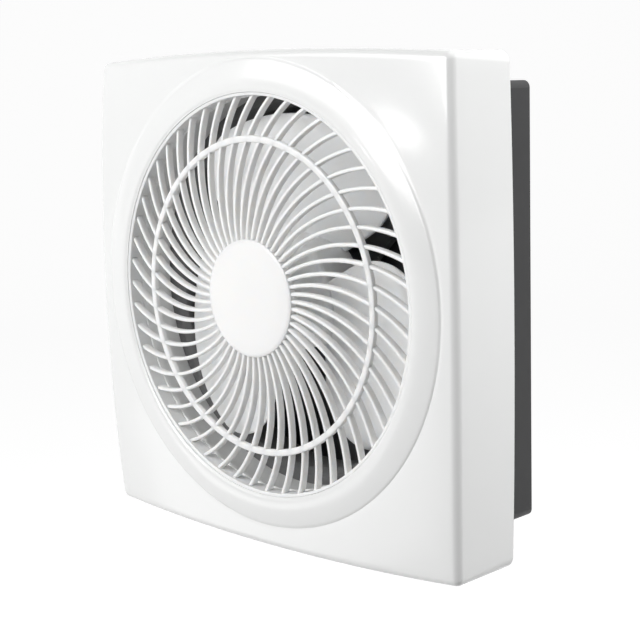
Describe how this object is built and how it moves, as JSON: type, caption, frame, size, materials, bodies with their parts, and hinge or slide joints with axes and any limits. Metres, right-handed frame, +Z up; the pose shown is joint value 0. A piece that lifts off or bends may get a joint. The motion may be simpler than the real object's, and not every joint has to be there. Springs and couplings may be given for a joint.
{
  "type": "window exhaust fan",
  "caption": "Square window and wall exhaust fan with a pillowed front cover, a spiral rib grille, a broad-bladed impeller and a shuttered duct box.",
  "frame": {"origin": "middle of the four wall screw holes, in the plane where the flange meets the wall", "axes": "+X to the right seen from the room, +Y out through the wall along the fan's axis, +Z up"},
  "size_m": [0.35, 0.1229, 0.3478],
  "materials": {
    "white_gloss": "moulded gloss white",
    "grille_white": "moulded satin white",
    "impeller_white": "moulded gloss white",
    "orifice_grey": "moulded dark grey",
    "box_grey": "fine-grained dark grey",
    "rail_grey": "moulded dark grey",
    "vane_grey": "moulded grey",
    "nylon": "natural nylon",
    "zinc_steel": "bright zinc plate",
    "bracket_steel": "grey powder coat",
    "can_steel": "grey enamel",
    "lamination": "stacked steel sheet",
    "copper": "enamelled wire",
    "rotor_metal": "turned",
    "bright_steel": "ground",
    "bronze": "sintered",
    "rubber": "matte",
    "capacitor_case": "moulded",
    "terminal_plastic": "moulded",
    "brass": "turned",
    "lead_sheath": "vinyl sleeve"
  },
  "bodies": {
    "housing": {"front_cover": "white_gloss", "grille": "grille_white", "cover_sockets": "nylon", "orifice_panel": "orifice_grey", "orifice_screws": "zinc_steel", "duct_box": "box_grey", "vane_rail_left": "rail_grey", "vane_rail_right": "rail_grey", "rail_screws": "zinc_steel", "motor_bracket": "bracket_steel", "bracket_screws": "zinc_steel", "motor_isolators": "rubber", "motor_screws": "zinc_steel", "motor_can_front": "can_steel", "motor_can_rear": "can_steel", "stator_core": "lamination", "stator_windings": "copper", "bearing_front": "bronze", "bearing_rear": "bronze", "capacitor": "capacitor_case", "capacitor_strap": "zinc_steel", "terminal_box": "terminal_plastic", "terminal_block": "nylon", "terminal_screws": "brass", "terminal_lid": "terminal_plastic", "lid_screws": "zinc_steel", "cable_grommet": "rubber", "motor_lead": "lead_sheath", "capacitor_lead": "lead_sheath"},
    "fan": {"motor_rotor": "rotor_metal", "motor_shaft": "bright_steel", "impeller": "impeller_white", "drive_pin": "bright_steel", "spinner_nut": "impeller_white"},
    "vane_1": {"shutter_vane_1": "vane_grey"},
    "vane_2": {"shutter_vane_2": "vane_grey"},
    "vane_3": {"shutter_vane_3": "vane_grey"},
    "vane_4": {"shutter_vane_4": "vane_grey"},
    "link": {"shutter_link": "nylon"}
  },
  "joints": [
    {"name": "fan_spin", "type": "hinge", "parent": "housing", "child": "fan", "pos_m": [0, 0, 0.0055], "axis": [0, 1, 0], "continuous": true},
    {"name": "vane_1_hinge", "type": "hinge", "parent": "housing", "child": "vane_1", "pos_m": [0, 0.042, 0.134], "axis": [1, 0, 0], "range_deg": [0, 75]},
    {"name": "vane_2_hinge", "type": "hinge", "parent": "housing", "child": "vane_2", "pos_m": [0, 0.042, 0.065], "axis": [1, 0, 0], "range_deg": [0, 75]},
    {"name": "vane_3_hinge", "type": "hinge", "parent": "housing", "child": "vane_3", "pos_m": [0, 0.042, -0.004], "axis": [1, 0, 0], "range_deg": [0, 75]},
    {"name": "vane_4_hinge", "type": "hinge", "parent": "housing", "child": "vane_4", "pos_m": [0, 0.042, -0.073], "axis": [1, 0, 0], "range_deg": [0, 75]},
    {"name": "link_pivot", "type": "hinge", "parent": "vane_1", "child": "link", "pos_m": [0.133, 0.03072, 0.1381], "axis": [1, 0, 0], "range_deg": [-75, 0]}
  ],
  "couplings": [
    {"joint": "vane_2_hinge", "follows": "vane_1_hinge", "ratio": 1},
    {"joint": "vane_3_hinge", "follows": "vane_1_hinge", "ratio": 1},
    {"joint": "vane_4_hinge", "follows": "vane_1_hinge", "ratio": 1},
    {"joint": "link_pivot", "follows": "vane_1_hinge", "ratio": -1}
  ]
}
